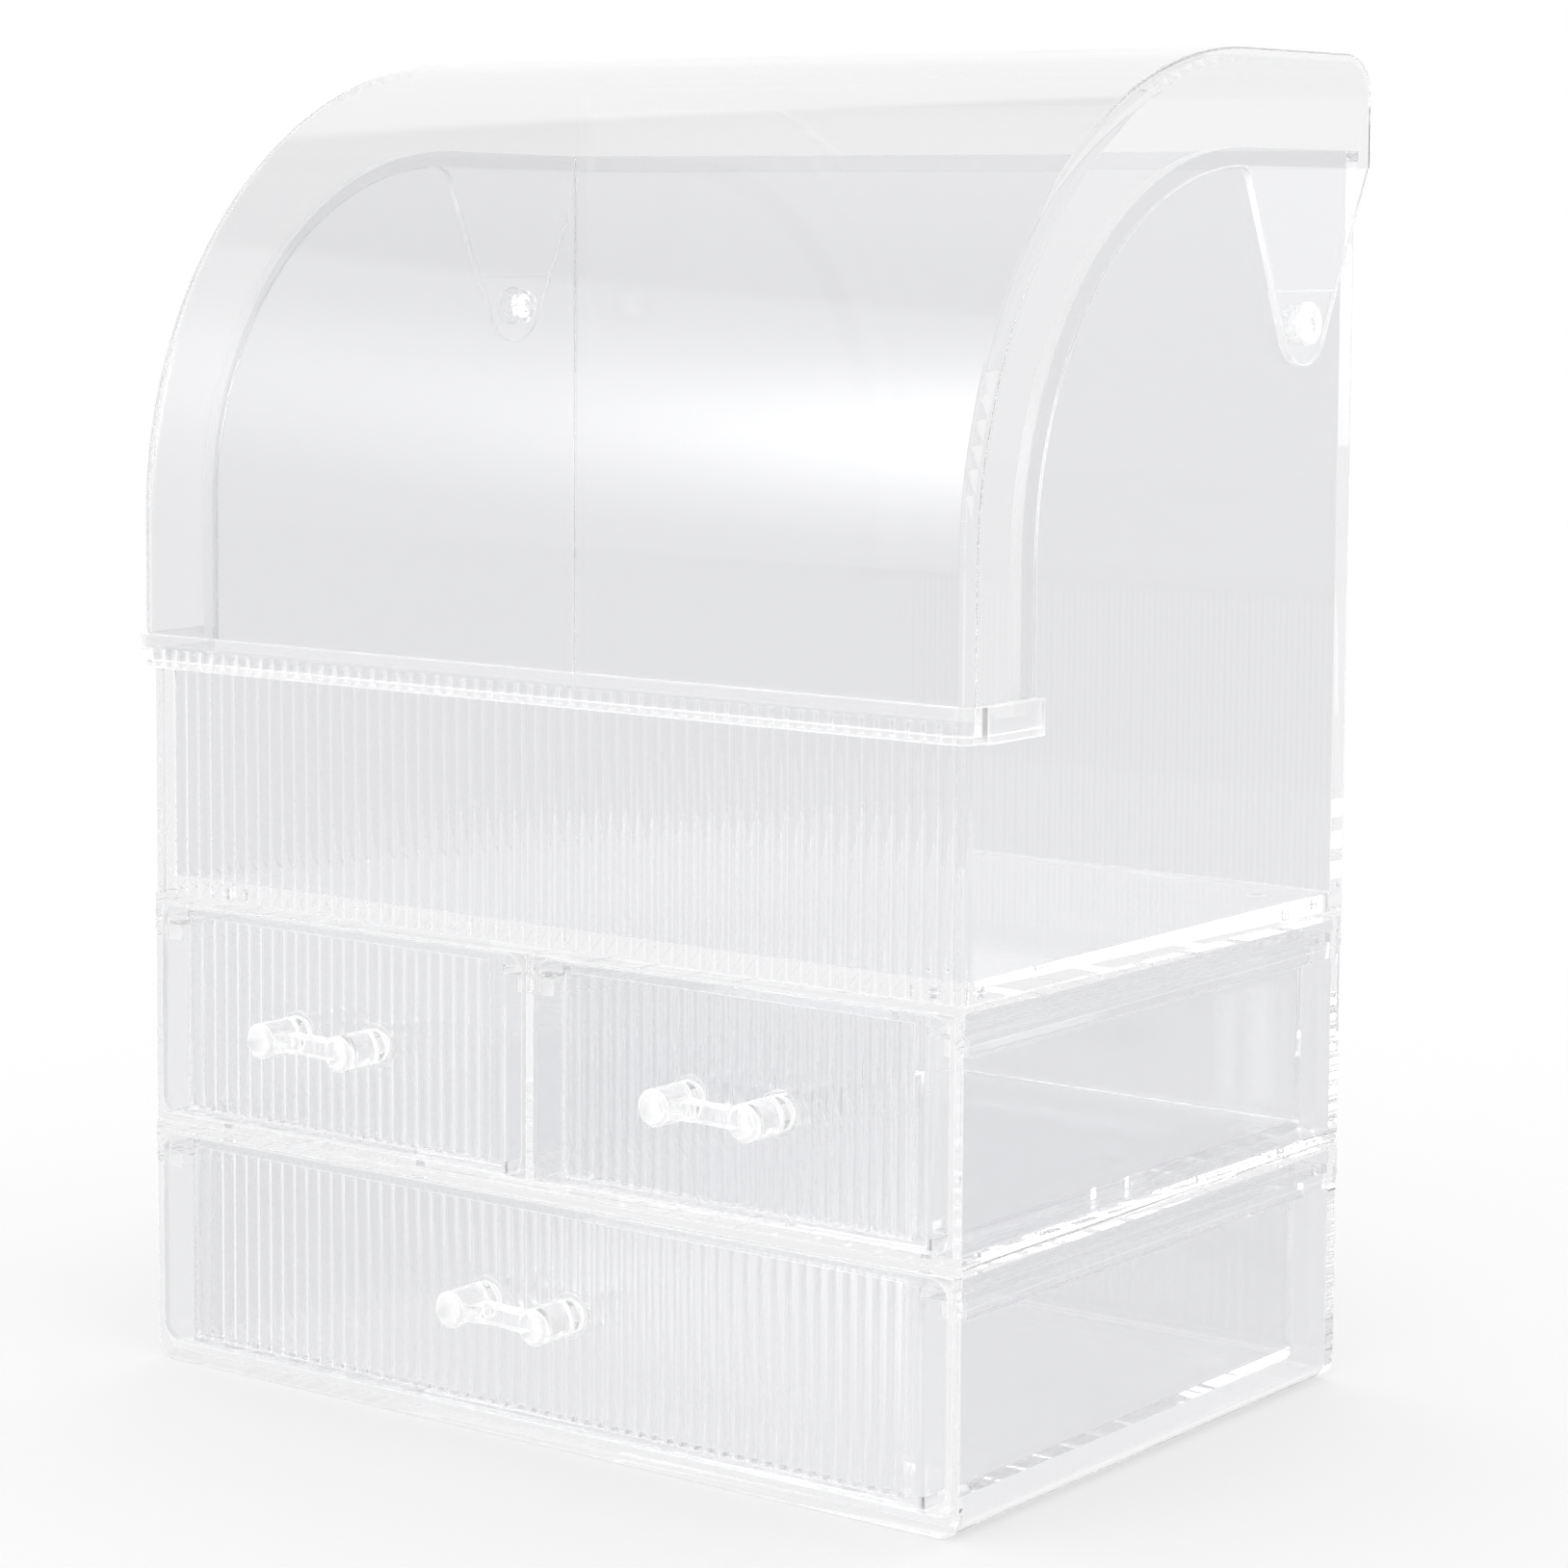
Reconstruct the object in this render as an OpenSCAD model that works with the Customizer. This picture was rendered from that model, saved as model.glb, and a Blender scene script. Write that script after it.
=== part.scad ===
// Clear stacking organizer: two drawer cases, an open display case on top of
// them, and a curved cover that swings up and back on two snap rivets.
// X runs across the front, +Y to the back, +Z up. The origin is the middle of
// the underside of the lower case. Units are millimetres.

/* [Cases] */
// Width across the side faces
body_w = 240; // [220:1:280]
// Depth from the front edges to the back face
body_d = 160; // [150:1:190]
// Height of one drawer case
tier_h = 56.5; // [52:0.5:60]
// Extra height of the lower case below its drawer
plinth_h = 2.5; // [2:0.5:6]
// Wall thickness of the drawer cases
wall_t = 2.6; // [2:0.1:3.2]
// Radius of the two long lower corners
foot_r = 5.5; // [4:0.5:8]

/* [Display case] */
// Thickness of the display floor
floor_t = 4.5; // [3:0.5:6]
// Thickness of the side and back walls
panel_t = 2.8; // [2.4:0.2:3.4]
// Height of the reeded fence above the display floor
fence_h = 56; // [44:1:58]

/* [Cover] */
// Height from the underside of the lower case to the top of the cover
total_h = 320; // [316:1:340]
// Radius of the curved sheet between front and top
cover_r = 113; // [100:1:116]
// Thickness of the sheet and its skirts
cover_t = 1.7; // [1.5:0.1:2]
// Running gap between the cover and the case
cover_gap = 0.5; // [0.4:0.1:0.8]
// Radius of the long edges between sheet and skirts
edge_r = 3.5; // [3:0.5:5]
// Width of the skirts
skirt_w = 24.5; // [20:0.5:28]
// Height of the hinge pivot
pivot_z = 256.6; // [252:0.1:262]
// Distance of the hinge pivot from the back face
pivot_back = 25.7; // [23:0.1:30]

/* [Reeding] */
// Distance between two reeds, fitted to a whole number
reed_pitch = 4; // [3:0.5:6]
// Height of a reed
reed_h = 0.8; // [0.5:0.1:1]

/* [Drawers] */
// Thickness of the drawer fronts
front_t = 3; // [2.6:0.2:4]
// Width of the plain border beside the reeds
border_w = 9.5; // [6:0.5:14]
// Radius of the corners of a drawer front
front_r = 5; // [3:0.5:7]
// Wall thickness of a drawer tray
tray_t = 2; // [1.6:0.1:2.4]

/* [Pulls] */
// Distance between the two posts of a pull
pull_span = 24.8; // [20:0.4:40]
// Diameter of a post
post_d = 8.6; // [7:0.2:10]
// How far a pull stands out from its front
pull_reach = 13.4; // [11:0.2:18]

/* [Hidden] */
$fn = 64;

half_w = body_w / 2;
front_y = -body_d / 2;
back_y = body_d / 2;

// Drawer cases
case_floor_t = 2.2;
case_top_t = 2.2;
case_back_t = 2.4;
band_h = 8.7;
band_step = 0.3;
sill_h = 2.3;
sill_d = 3;
lower_top = tier_h + plinth_h;
display_z = lower_top + tier_h;
bay_w = body_w - 2 * wall_t;

// Ledges that the drawers hang on, measured down from the top of a case
ledge_w = 4.2;
ledge_drop = 7.8;
ledge_h = 3.9;
ledge_setback = 3.6;
stop_d = 1;

// Divider between the two upper drawers
divider_t = 2.4;
half_bay = (bay_w - divider_t) / 2;
bay_x = (divider_t + half_bay) / 2;

// Pegs that locate one case on the next, each on a low shoulder that carries it
peg_r = 1.6;
peg_h = 1.2;
peg_fit = 0.1;
peg_inset = 16;
peg_seat_r = 2.4;
seat_h = 0.15;

// Display case
display_top = display_z + floor_t;
fence_top = display_top + fence_h;
fence_t = 3;
reed_gap = 1.5;
inner_r = 1.5;
wall_lap = 4.2;
corner_r = edge_r - cover_t - cover_gap;

// Cover: an upright front, a quarter turn, a level top and a tight rear bend
cover_x = half_w + cover_gap + cover_t;
cover_front = front_y - cover_gap - cover_t;
cover_back = back_y + 6.5;
arc_y = cover_front + cover_r;
arc_z = total_h - cover_r;
bend_r = 10;
rail_h = 8;
rail_z = fence_top - 4.8;
rail_flange = 1.6;
rail_out = 2.5;
rail_r = 8;
rail_lip = 0.8;
rail_brow = 3.4;
rail_fit = 0.12;
sheet_z = rail_z + rail_flange;
skirt_y = cover_front + skirt_w;
skirt_z = total_h - skirt_w - 2.6;
skirt_r = cover_r - 28.5;
wall_top = skirt_z + wall_lap;

// Hinge ears and rivets
pivot_y = back_y - pivot_back;
ear_r = 9.7;
ear_reach = 26.9;
ear_step = 7.7;
ear_fillet = 4.5;
pad_gap = 0.12;
rivet_r = 3;
rivet_run = 0.06;
rivet_head_r = 5.2;
neck_r = 1.9;
cap_t = 2.2;
cap_lobes = 6;

// Drawers, measured from the bay walls and the top of a case
front_gap = 0.5;
front_proud = 0.8;
front_drop = 2.5;
front_h = tier_h - case_floor_t - front_drop - 0.2;
field_d = 1.1;
field_edge = 2.3;
tray_inset = 6.7;
wide_inset = 8;
tray_drop = 3.2;
tray_floor_t = 2.2;
tray_r = 1.2;
tray_inner_r = 0.6;
tray_foot_r = 4;
tray_back_gap = 1.3;
flange_gap = 0.8;
flange_lift = 0.1;
flange_t = 2.1;
face_y = front_y - front_proud;
front_seat = 0.15;
tray_y = face_y + front_t + front_seat;
tray_d = back_y - case_back_t - tray_back_gap - tray_y;
upper_pull_z = 25;
lower_pull_z = 26.8;
pad_r = 5.3;
pad_drop = 0.1;
pin_r = 1.9;
pin_fit = 0.05;
pin_seat_r = 3.4;
bar_h = 4;
bar_d = 6.2;
bar_inset = 1.2;
bar_waist = 0.9;
waist_r = pull_span;

reed_r = (pow(reed_pitch / 2 + 0.05, 2) + pow(reed_h, 2)) / (2 * reed_h);

clear = [0.92, 0.94, 0.96, 0.4];
clear_bright = [0.97, 0.98, 1, 0.5];

// -------------------------------------------------------------- primitives

// A rectangle standing on the X axis with its two lower corners rounded.
module cradle_2d(w, h, r) {
    translate([-w / 2, r]) square([w, h - r]);
    translate([r - w / 2, 0]) square([w - 2 * r, h]);
    for (side = [-1, 1]) translate([side * (w / 2 - r), r]) circle(r);
}

// A centred rectangle with four rounded corners.
module rounded_2d(w, h, r) {
    square([w - 2 * r, h], center = true);
    square([w, h - 2 * r], center = true);
    for (x = [-1, 1], y = [-1, 1]) translate([x * (w / 2 - r), y * (h / 2 - r)]) circle(r);
}

// An outline in X and Z, made solid from y towards the back.
module along_y(y, depth) {
    translate([0, y + depth, 0]) rotate([90, 0, 0]) linear_extrude(depth) children();
}

// An outline in Y and Z, made solid from x towards +X.
module along_x(x, width) {
    translate([x, 0, 0]) rotate([90, 0, 90]) linear_extrude(width) children();
}

// A row of upright reeds that rise from the plane y = 0 towards -Y and fill
// the width from -w / 2 to w / 2.
module reeds(w, h) {
    count = ceil(w / reed_pitch);
    step = w / count;
    linear_extrude(h) intersection() {
        union() for (i = [0 : count - 1])
            translate([(i + 0.5) * step - w / 2, reed_r - reed_h]) circle(reed_r, $fn = 40);
        translate([-w / 2, -2 * reed_h]) square([w, 2 * reed_h + 0.3]);
    }
}

// ------------------------------------------------------------ drawer cases

// A case open at the front, with a slightly proud band round its top.
module case_shell(height, bottom_r, sill) {
    bay_r = max(bottom_r - wall_t, 0.6);
    inner_h = height - case_floor_t - case_top_t;
    difference() {
        union() {
            along_y(front_y, body_d) cradle_2d(body_w - 2 * band_step, height, bottom_r);
            translate([-half_w, front_y, height - band_h]) cube([body_w, body_d, band_h]);
        }
        along_y(front_y - 1, body_d + 1 - case_back_t)
            translate([0, case_floor_t + sill]) cradle_2d(bay_w, inner_h - sill, bay_r);
        along_y(front_y + sill_d, body_d - sill_d - case_back_t)
            translate([0, case_floor_t]) cradle_2d(bay_w, inner_h, bay_r);
    }
}

// The ledge on the wall at x = 0, with a stop at its rear end. The bay lies
// towards +X, and the wall's face is at x = 0.
module ledge(case_top) {
    y = front_y + ledge_setback;
    len = back_y - case_back_t - y;
    z = case_top - ledge_drop - ledge_h;
    translate([-0.1, y, z]) cube([ledge_w + 0.1, len + 0.1, ledge_h]);
    translate([-0.1, y + len - stop_d, z]) cube([ledge_w + 0.1, stop_d + 0.1, ledge_h + flange_t]);
}

// The two ledges that face each other across a bay w wide. A negative width
// puts them on the two sides of a divider.
module ledge_pair(w, case_top) {
    for (side = [0, 1]) mirror([side, 0, 0]) translate([-w / 2, 0, 0]) ledge(case_top);
}

module at_pegs(z) {
    for (x = [-1, 1], y = [-1, 1])
        translate([x * (half_w - peg_inset), y * (back_y - peg_inset), z]) children();
}

// Four pegs that stand on a case top at z. Their shoulders end at z.
module pegs(z) {
    at_pegs(z - seat_h - 0.1) cylinder(seat_h + 0.1, r = peg_seat_r);
    at_pegs(z - 0.1) cylinder(peg_h + 0.1, r = peg_r);
}

// The blind bores that take the pegs, in an underside at z.
module peg_bores(z) {
    at_pegs(z - 1) cylinder(peg_h + 1.2, r = peg_r + peg_fit);
}

module lower_case() {
    color(clear) {
        case_shell(lower_top - seat_h, foot_r, sill_h);
        ledge_pair(bay_w, lower_top);
        pegs(lower_top);
    }
}

module middle_case() {
    color(clear) difference() {
        union() {
            translate([0, 0, lower_top]) case_shell(tier_h - seat_h, 1, 0);
            translate([-divider_t / 2, front_y, lower_top + 1])
                cube([divider_t, body_d - 1, tier_h - 2]);
            ledge_pair(bay_w, display_z);
            ledge_pair(-divider_t, display_z);
            pegs(display_z);
        }
        peg_bores(lower_top);
    }
}

// ------------------------------------------------------------ display case

// The outline of a side wall above the fence: set back from the front, then
// round to a level top, always the same distance inside the cover's skirt.
module upper_wall_2d(z) {
    y = skirt_y - wall_lap;
    r = skirt_r + wall_lap;
    translate([y, z]) square([back_y - y, wall_top - r - z]);
    translate([y + r, z]) square([back_y - y - r, wall_top - z]);
    intersection() {
        translate([y + r, wall_top - r]) circle(r, $fn = 180);
        translate([y, z]) square([r + 1, wall_top - z]);
    }
}

// One moulding: a thick floor, a low reeded fence, and the side and back
// walls. Its front corners follow the inside of the cover.
module display_case() {
    inner_w = body_w - 2 * panel_t;
    inner_front = front_y + fence_t;
    inner_back = back_y - panel_t;
    base_y = front_y + corner_r;
    reeded_h = fence_top - display_z - reed_gap;
    color(clear) {
        difference() {
            union() {
                translate([0, 0, display_z]) linear_extrude(fence_top - display_z) {
                    rounded_2d(body_w, body_d, corner_r);
                    translate([-half_w, base_y]) square([body_w, back_y - base_y]);
                }
                along_x(-half_w, body_w) upper_wall_2d(display_top);
            }
            translate([0, (inner_front + inner_back) / 2, display_top]) linear_extrude(total_h)
                rounded_2d(inner_w, inner_back - inner_front, inner_r);
            translate([-inner_w / 2, front_y - 1, display_z - 1])
                cube([inner_w, 1 + reed_h, 1 + reeded_h]);
            translate([-half_w - 1, pivot_y, pivot_z]) rotate([0, 90, 0])
                cylinder(body_w + 2, r = rivet_r + 0.02);
            peg_bores(display_z);
        }
        translate([0, front_y + reed_h, display_z]) reeds(inner_w, reeded_h + 0.1);
    }
}

// ------------------------------------------------------------------- cover

// The cover's plan seen from above, reduced by d, with its corners at r.
module cover_plan_2d(d, r) {
    translate([0, (cover_front + cover_back) / 2])
        rounded_2d(2 * (cover_x - d), cover_back - cover_front - 2 * d, r);
}

// Section of a turn about an axis: reach out from the axis, half to each side,
// and the two outer edges rounded to r.
module turn_2d(reach, half, r) {
    translate([0, -half]) square([reach - r, 2 * half]);
    translate([0, r - half]) square([reach, 2 * (half - r)]);
    for (side = [-1, 1]) translate([reach - r, side * (half - r)]) circle(r);
}

// The solid that the cover wraps, reduced by d, from low up, edges at r.
module cover_solid(d, r, low) {
    half = cover_x - d;
    rear_y = cover_back - bend_r;
    rear_z = total_h - bend_r;
    translate([0, 0, low]) linear_extrude(arc_z - low) cover_plan_2d(d, r);
    translate([0, arc_y, arc_z]) rotate([0, 90, 0]) rotate([0, 0, 180])
        rotate_extrude(angle = 90, $fn = 180) turn_2d(cover_r - d, half, r);
    along_y(arc_y, rear_y - arc_y) intersection() {
        translate([0, arc_z]) rounded_2d(2 * half, 2 * (cover_r - d), r);
        translate([-half, arc_z]) square([2 * half, cover_r]);
    }
    translate([0, rear_y, rear_z]) rotate([90, 0, 90])
        rotate_extrude(angle = 90) turn_2d(bend_r - d, half, r);
    translate([0, 0, arc_z]) linear_extrude(rear_z - arc_z) intersection() {
        cover_plan_2d(d, r);
        translate([-half, rear_y]) square([2 * half, bend_r]);
    }
}

// The open side inside the skirts, as an outline in Y and Z.
module side_opening_2d() {
    low = sheet_z - 5;
    translate([skirt_y, low]) square([200, skirt_z - skirt_r - low]);
    translate([skirt_y + skirt_r, low]) square([200, skirt_z - low]);
    translate([skirt_y + skirt_r, skirt_z - skirt_r]) circle(skirt_r, $fn = 180);
}

// Where a line from p touches the circle of radius r about c.
function touch(p, c, r, side) =
    let (v = p - c, base = atan2(v[1], v[0]), turn = side * acos(r / norm(v)))
    c + r * [cos(base + turn), sin(base + turn)];

// Outline of an ear in Y and Z: it hangs from the skirt, is filleted into it
// at the front, and ends in a round tip about the pivot.
module ear_2d() {
    tip = [pivot_y, pivot_z];
    front = [pivot_y - ear_reach, skirt_z];
    rear = [cover_back - edge_r, skirt_z];
    a = touch(front, tip, ear_r, 1);
    b = touch(rear, tip, ear_r, -1);
    slope = atan2(a[1] - front[1], a[0] - front[0]);
    half = (180 + slope) / 2;
    leg = ear_fillet / tan(half);
    polygon([front + [0, 1], front, a, tip, b, rear, rear + [0, 1]]);
    translate(tip) circle(ear_r);
    difference() {
        polygon([front + [-leg, 1], front - [leg, 0], front + leg * [cos(slope), sin(slope)], front + [1, 1]]);
        translate(front + ear_fillet / sin(half) * [cos(180 + half), sin(180 + half)]) circle(ear_fillet);
    }
}

// A hinge ear on +X, thickened on the inside where it bears on the wall.
module ear() {
    along_x(cover_x - cover_t, cover_t) ear_2d();
    along_x(half_w + pad_gap, cover_x - half_w - pad_gap) intersection() {
        ear_2d();
        translate([pivot_y - 50, 0]) square([100, pivot_z + ear_step]);
    }
}

module cover_shell() {
    color(clear) difference() {
        union() {
            difference() {
                cover_solid(0, edge_r, sheet_z);
                cover_solid(cover_t, edge_r - cover_t, sheet_z - 1);
                along_x(-cover_x - 1, 2 * cover_x + 2) side_opening_2d();
            }
            for (side = [0, 1]) mirror([side, 0, 0]) ear();
        }
        translate([-cover_x - 1, pivot_y, pivot_z]) rotate([0, 90, 0])
            cylinder(2 * cover_x + 2, r = rivet_r + rivet_run);
    }
}

// A rail round the lower edge of the cover: a plain brow above a reeded field
// at the front, and short plain arms.
module cover_rail() {
    w = 2 * (cover_x + rail_out);
    y = cover_front - rail_out;
    field_w = body_w;
    field_h = rail_h - rail_lip - rail_brow;
    color(clear_bright) difference() {
        translate([0, 0, rail_z]) {
            difference() {
                linear_extrude(rail_h) intersection() {
                    translate([0, y + w / 2]) rounded_2d(w, w, rail_r);
                    translate([-w / 2, y]) square([w, skirt_y - y]);
                }
                translate([-field_w / 2, y - 1, rail_lip]) cube([field_w, 1 + reed_h, field_h]);
            }
            translate([0, y + reed_h, rail_lip - 0.1]) reeds(field_w, field_h + 0.2);
        }
        translate([0, 0, sheet_z]) linear_extrude(rail_h) cover_plan_2d(-rail_fit, edge_r + rail_fit);
        translate([0, 0, rail_z - 1]) linear_extrude(rail_h) cover_plan_2d(cover_t, edge_r - cover_t);
    }
}

// ------------------------------------------------------------------ rivets

// A rivet on +X: a head with a raised rim outside the ear, a shank through ear
// and wall, and a thinner neck inside for the cap.
module rivet() {
    head_x = cover_x + 0.1;
    wall_x = half_w - panel_t;
    translate([0, pivot_y, pivot_z]) rotate([0, 90, 0]) {
        translate([0, 0, head_x]) rotate_extrude() polygon([
            [0, -0.5], [rivet_r - 0.2, -0.5], [rivet_r - 0.2, 0], [rivet_head_r, 0],
            [rivet_head_r, 0.9], [rivet_head_r - 0.7, 1.6], [rivet_head_r - 1.6, 1.6],
            [rivet_head_r - 2, 1], [0, 1]
        ]);
        translate([0, 0, wall_x]) cylinder(head_x - wall_x, r = rivet_r);
        translate([0, 0, wall_x - cap_t - 0.5]) cylinder(cap_t + 1, r1 = neck_r - 0.3, r2 = neck_r);
    }
}

module left_rivet() color(clear_bright) mirror([1, 0, 0]) rivet();

module right_rivet() color(clear_bright) rivet();

// The snap cap on +X: a ring of round lobes against the inside of the wall.
module rivet_cap() {
    translate([half_w - panel_t - cap_t, pivot_y, pivot_z]) rotate([0, 90, 0]) difference() {
        union() {
            cylinder(cap_t, r = 3.4);
            for (i = [0 : cap_lobes - 1]) rotate([0, 0, i * 360 / cap_lobes])
                translate([2.8, 0, 0]) cylinder(cap_t, r = 1.6);
        }
        translate([0, 0, -1]) cylinder(cap_t + 2, r = neck_r + 0.02);
    }
}

module left_rivet_cap() color(clear_bright) mirror([1, 0, 0]) rivet_cap();

module right_rivet_cap() color(clear_bright) rivet_cap();

// ----------------------------------------------------------------- drawers

// Positions of the two posts of a pull whose centre is at height z.
module at_posts(z) {
    for (side = [-1, 1]) translate([side * pull_span / 2, 0, z]) rotate([90, 0, 0]) children();
}

// A box w wide with upright corners at r and its rear lower edge at foot,
// standing at bottom behind y.
module tub(w, d, h, r, foot, y, bottom) {
    intersection() {
        translate([0, y + d / 2, bottom]) linear_extrude(h) rounded_2d(w, d, r);
        along_x(-w / 2, w) {
            translate([y, bottom]) square([d - foot, h]);
            translate([y, bottom + foot]) square([d, h - foot]);
            translate([y + d - foot, bottom + foot]) circle(foot);
        }
    }
}

// A tray for a bay w wide, hung from flanges beside its side walls. Two low
// seats round the pins of the pull meet the back of the front.
module tray(w, inset, case_top, post_z) {
    tray_w = w - 2 * inset;
    bottom = case_top - front_drop - front_h;
    height = case_top - tray_drop - bottom;
    pin_z = bottom + post_z;
    color(clear) difference() {
        union() {
            tub(tray_w, tray_d, height, tray_r, tray_foot_r, tray_y, bottom);
            translate([0, tray_y + tray_d / 2, case_top - ledge_drop + flange_lift])
                linear_extrude(flange_t) rounded_2d(w - 2 * flange_gap, tray_d, 1);
            translate([0, tray_y + 1, 0]) at_posts(pin_z) cylinder(front_seat + 1, r = pin_seat_r);
        }
        tub(tray_w - 2 * tray_t, tray_d - 2 * tray_t, height, tray_inner_r, tray_foot_r - tray_t,
            tray_y + tray_t, bottom + tray_floor_t);
        translate([0, tray_y + tray_t + 1, 0]) at_posts(pin_z)
            cylinder(tray_t + 2, r = pin_r + pin_fit);
    }
}

// A front for a bay w wide: a plain border round a sunken reeded field, with a
// round pad under each post of the pull.
module drawer_front(w, border, case_top, post_z) {
    front_w = w - 2 * front_gap;
    field_w = front_w - 2 * border;
    field_h = front_h - 2 * field_edge;
    bottom = case_top - front_drop - front_h;
    ground = face_y + field_d;
    color(clear) difference() {
        union() {
            difference() {
                along_y(face_y, front_t) translate([0, bottom + front_h / 2])
                    rounded_2d(front_w, front_h, front_r);
                translate([-field_w / 2, face_y - 1, bottom + field_edge])
                    cube([field_w, 1 + field_d, field_h]);
            }
            translate([0, ground, bottom + field_edge]) reeds(field_w, field_h);
            translate([0, ground + 0.5, 0]) at_posts(bottom + post_z)
                cylinder(field_d + 0.5 - pad_drop, r = pad_r);
        }
        translate([0, face_y + front_t + 1, 0]) at_posts(bottom + post_z)
            cylinder(front_t + 2, r = pin_r + pin_fit);
    }
}

// A pull: two turned posts joined by a waisted bar. Behind each post a
// shoulder meets the pad, and a pin passes through the front and the tray.
module pull(case_top, post_z) {
    post_r = post_d / 2;
    shoulder_r = pin_r + 0.7;
    pin_end = front_t + front_seat + tray_t - 0.2;
    bar_y = face_y - pull_reach + bar_inset + bar_d / 2;
    z = case_top - front_drop - front_h + post_z;
    color(clear_bright) {
        translate([0, face_y, 0]) at_posts(z) rotate_extrude() polygon([
            [0, -pin_end], [pin_r - 0.2, -pin_end], [pin_r, 0.2 - pin_end],
            [pin_r, -pad_drop], [shoulder_r, -pad_drop], [shoulder_r, 0], [post_r, 0],
            [post_r, pull_reach - 0.9], [post_r - 0.9, pull_reach], [0, pull_reach]
        ]);
        translate([0, bar_y, z - bar_h / 2]) linear_extrude(bar_h) difference() {
            square([pull_span, bar_d], center = true);
            for (side = [-1, 1]) translate([0, side * (bar_d / 2 + waist_r - bar_waist)])
                circle(waist_r, $fn = 120);
        }
    }
}

module upper_tray() tray(half_bay, tray_inset, display_z, upper_pull_z);

module upper_front() drawer_front(half_bay, border_w, display_z, upper_pull_z);

module upper_pull() pull(display_z, upper_pull_z);

module upper_left_tray() translate([-bay_x, 0, 0]) upper_tray();

module upper_left_front() translate([-bay_x, 0, 0]) upper_front();

module upper_left_pull() translate([-bay_x, 0, 0]) upper_pull();

module upper_right_tray() translate([bay_x, 0, 0]) upper_tray();

module upper_right_front() translate([bay_x, 0, 0]) upper_front();

module upper_right_pull() translate([bay_x, 0, 0]) upper_pull();

module lower_tray() tray(bay_w, wide_inset, lower_top, lower_pull_z);

module lower_front() drawer_front(bay_w, border_w + 2, lower_top, lower_pull_z);

module lower_pull() pull(lower_top, lower_pull_z);

lower_case();
middle_case();
display_case();
left_rivet();
right_rivet();
left_rivet_cap();
right_rivet_cap();
cover_shell();
cover_rail();
upper_left_tray();
upper_left_front();
upper_left_pull();
upper_right_tray();
upper_right_front();
upper_right_pull();
lower_tray();
lower_front();
lower_pull();
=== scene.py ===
"""Looks of a clear stacking organizer: two drawer cases, a display case and a hinged cover.

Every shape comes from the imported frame. This script gives each moulding its clear
plastic, and adds the floor, the light and the camera.
"""

import logging
import math
from dataclasses import dataclass
from enum import Enum

import bpy
from mathutils import Matrix, Vector

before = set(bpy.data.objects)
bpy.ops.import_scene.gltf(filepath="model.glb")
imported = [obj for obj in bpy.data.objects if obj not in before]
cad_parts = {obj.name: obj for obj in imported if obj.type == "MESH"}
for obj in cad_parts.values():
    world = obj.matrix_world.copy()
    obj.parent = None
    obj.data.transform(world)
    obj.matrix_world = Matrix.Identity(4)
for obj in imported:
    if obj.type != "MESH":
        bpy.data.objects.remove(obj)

LOG = logging.getLogger("organizer")
IMAGE_SIDE = 1628

Triple = tuple[float, float, float]
Paint = tuple[float, float, float, float]
ACROSS: Triple = (1.0, 0.0, 0.0)
BACKWARDS: Triple = (0.0, 1.0, 0.0)
UPWARDS: Triple = (0.0, 0.0, 1.0)
BLACK: Paint = (0.0, 0.0, 0.0, 1.0)
WHITE: Paint = (1.0, 1.0, 1.0, 1.0)

# Farther from the origin than any point of the object, in metres
FAR = 1.0

# Numbers of the colour sockets of a Mix node, which share their names with others
MIX_FIRST = 6
MIX_SECOND = 7
MIX_RESULT = 2


class Slot(Enum):
    """Material slots of the record, one for each kind of moulding."""

    CASE = "case_clear"
    COVER = "cover_clear"
    REEDED = "reeded_clear"
    TRAY = "tray_clear"
    PULL = "pull_clear"
    RIVET = "rivet_clear"


class Tint(Enum):
    """What one face lets through of each colour. A wall has two faces."""

    WALL = (0.87, 0.871, 0.88)
    COVER_TOP = (0.93, 0.93, 0.935)
    THICK = (0.945, 0.946, 0.951)
    THIN = (0.957, 0.958, 0.962)
    TRAY = (0.968, 0.969, 0.972)
    PALE = (0.985, 0.985, 0.988)
    CLEAREST = (0.995, 0.995, 0.997)

    def paint(self) -> Paint:
        """The tint with full cover, as a colour socket takes it."""
        return (*self.value, 1.0)


class Op(Enum):
    """Operations of a Math node that the shader expressions use."""

    ADD = "ADD"
    SUBTRACT = "SUBTRACT"
    MULTIPLY = "MULTIPLY"
    POWER = "POWER"
    MAXIMUM = "MAXIMUM"
    MINIMUM = "MINIMUM"
    GREATER = "GREATER_THAN"


class Ray(Enum):
    """What a material can know about the ray that meets it."""

    FROM_CAMERA = "Is Camera Ray"
    FROM_MATT = "Is Diffuse Ray"
    FROM_GLOSSY = "Is Glossy Ray"
    THROUGH_CLEAR = "Is Transmission Ray"
    TIMES_REFLECTED = "Glossy Depth"


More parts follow.
